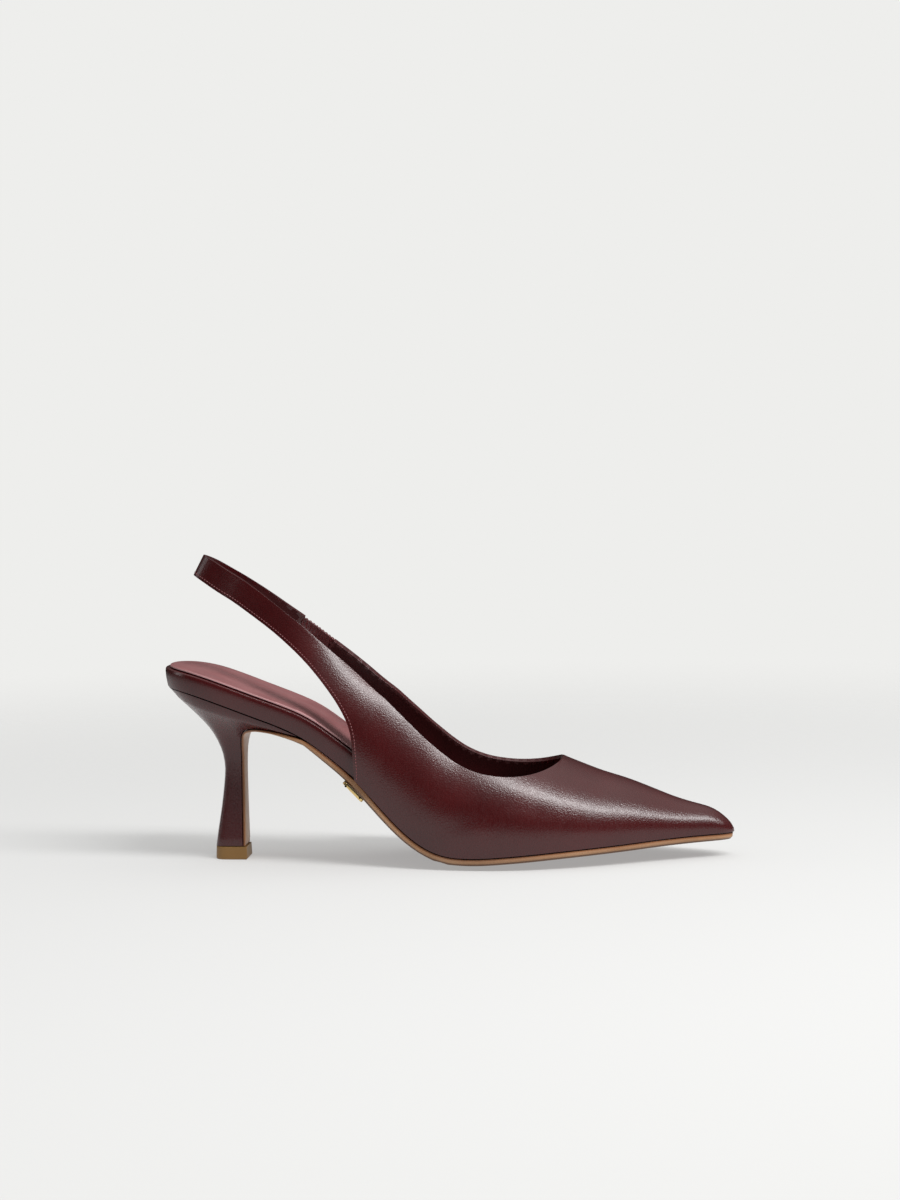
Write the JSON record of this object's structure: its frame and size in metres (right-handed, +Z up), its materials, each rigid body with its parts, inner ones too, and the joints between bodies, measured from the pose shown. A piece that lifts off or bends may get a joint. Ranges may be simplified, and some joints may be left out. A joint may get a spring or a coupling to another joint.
{
  "type": "slingback pump",
  "caption": "Right slingback pump in burgundy calf with a pointed toe, elastic sling strap, covered rand and flared heel on a tan leather sole",
  "frame": {"origin": "on the floor, under the middle of the shoe's bounding box", "axes": "+X to the toe, +Y to the inner side of the foot, +Z up; the shoe stands on its top piece and on the flat spot under the ball"},
  "size_m": [0.252, 0.0784, 0.1359],
  "materials": {
    "burgundy_leather": "smooth satin calf",
    "lining_leather": "matte",
    "tan_sole_leather": "satin",
    "top_piece_rubber": "satin",
    "burgundy_elastic": "matte",
    "gold_metal": "polished"
  },
  "bodies": {
    "root": {"upper": "burgundy_leather", "elastic": "burgundy_elastic", "insole_board": "burgundy_leather", "insole": "lining_leather", "outsole": "tan_sole_leather", "heel": "burgundy_leather", "top_piece": "top_piece_rubber", "waist_plate": "gold_metal"}
  },
  "joints": []
}
